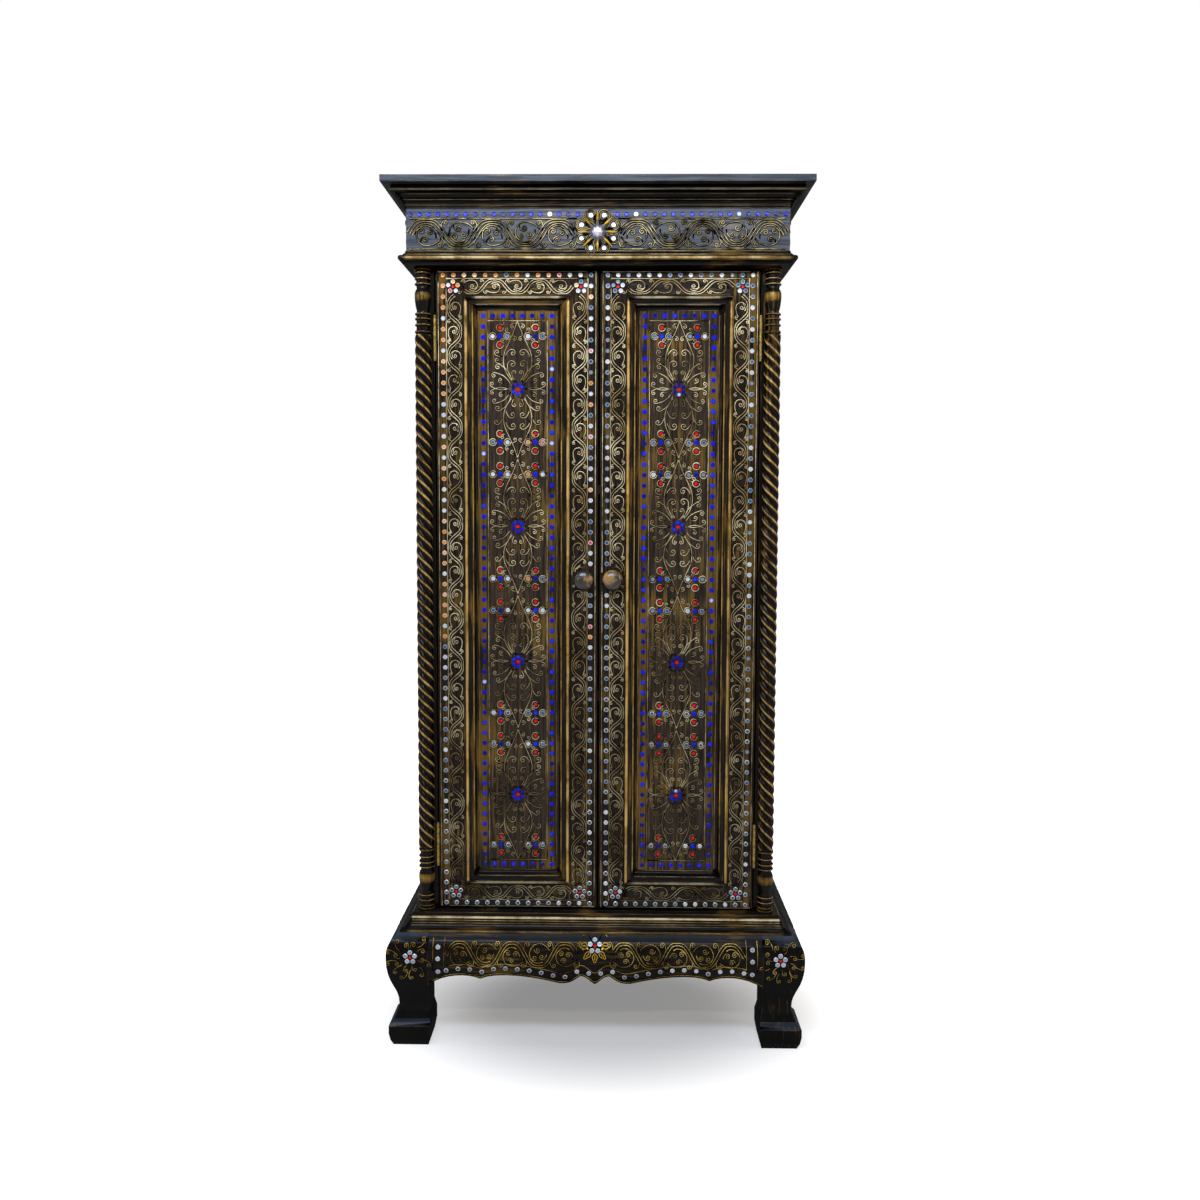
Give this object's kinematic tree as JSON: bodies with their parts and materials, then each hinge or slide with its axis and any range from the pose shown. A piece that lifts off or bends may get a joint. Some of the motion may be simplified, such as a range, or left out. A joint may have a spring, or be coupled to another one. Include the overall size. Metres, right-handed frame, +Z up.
{
  "type": "two-door cabinet",
  "caption": "Tall two-door cabinet on a cabriole stand, with rope-twist corner columns, panelled doors with round glass inlay, frieze, stepped cornice and inner shelves.",
  "frame": {"origin": "on the floor, in the middle of the footprint's box", "axes": "+X to the right as seen from the front, -Y to the front, +Z up"},
  "size_m": [0.7578, 0.4516, 1.55],
  "materials": {
    "lacquered_wood": "brown-black lacquer, rubbed with gold, satin",
    "gilt_moulding": "lacquered moulding with gold rubbed on its edges",
    "plain_wood": "oiled hardwood, not lacquered",
    "knob_wood": "turned wood, lacquered and worn",
    "brass": "dull brass",
    "strike_steel": "zinc-plated",
    "catch_plastic": "moulded brown plastic",
    "clear_glass": "round mirror glass, silvered behind",
    "blue_glass": "round cobalt-blue glass, silvered behind",
    "red_glass": "round red glass, silvered behind"
  },
  "bodies": {
    "cabinet": {"leg_front_left": "lacquered_wood", "leg_front_right": "lacquered_wood", "leg_rear_left": "lacquered_wood", "leg_rear_right": "lacquered_wood", "front_apron": "lacquered_wood", "side_aprons": "lacquered_wood", "stand_rear_rail": "plain_wood", "stand_frame": "plain_wood", "waist_moulding": "lacquered_wood", "bottom_board": "plain_wood", "carcass_top": "plain_wood", "front_post_left": "lacquered_wood", "front_post_right": "lacquered_wood", "rear_posts": "lacquered_wood", "side_rails": "lacquered_wood", "side_panels": "lacquered_wood", "back_panel": "plain_wood", "left_column": "lacquered_wood", "right_column": "lacquered_wood", "upper_shelf": "plain_wood", "lower_shelf": "plain_wood", "shelf_cleats": "plain_wood", "neck_moulding": "lacquered_wood", "frieze_boards": "lacquered_wood", "cornice_moulding": "lacquered_wood", "top_board": "lacquered_wood", "frame_hinge_leaves": "brass", "hinge_pins": "brass", "frame_hinge_screws": "brass", "magnetic_catches": "catch_plastic", "frieze_blue_glass": "blue_glass", "cabinet_clear_glass": "clear_glass", "cabinet_red_glass": "red_glass"},
    "left_door": {"left_hinge_stile": "lacquered_wood", "left_meeting_stile": "lacquered_wood", "left_top_rail": "lacquered_wood", "left_bottom_rail": "lacquered_wood", "left_panel": "lacquered_wood", "left_panel_moulding": "gilt_moulding", "left_knob": "knob_wood", "left_hinge_leaves": "brass", "left_hinge_screws": "brass", "left_strike_plate": "strike_steel", "left_clear_glass": "clear_glass", "left_blue_glass": "blue_glass", "left_red_glass": "red_glass"},
    "right_door": {"right_hinge_stile": "lacquered_wood", "right_meeting_stile": "lacquered_wood", "right_top_rail": "lacquered_wood", "right_bottom_rail": "lacquered_wood", "right_panel": "lacquered_wood", "right_panel_moulding": "gilt_moulding", "right_knob": "knob_wood", "right_hinge_leaves": "brass", "right_hinge_screws": "brass", "right_strike_plate": "strike_steel", "right_clear_glass": "clear_glass", "right_blue_glass": "blue_glass", "right_red_glass": "red_glass"}
  },
  "joints": [
    {"name": "left_door_hinge", "type": "hinge", "parent": "cabinet", "child": "left_door", "pos_m": [-0.2915, -0.16567, 0.82], "axis": [0, 0, -1], "range_deg": [0, 150]},
    {"name": "right_door_hinge", "type": "hinge", "parent": "cabinet", "child": "right_door", "pos_m": [0.2915, -0.16567, 0.82], "axis": [0, 0, 1], "range_deg": [0, 150]}
  ]
}
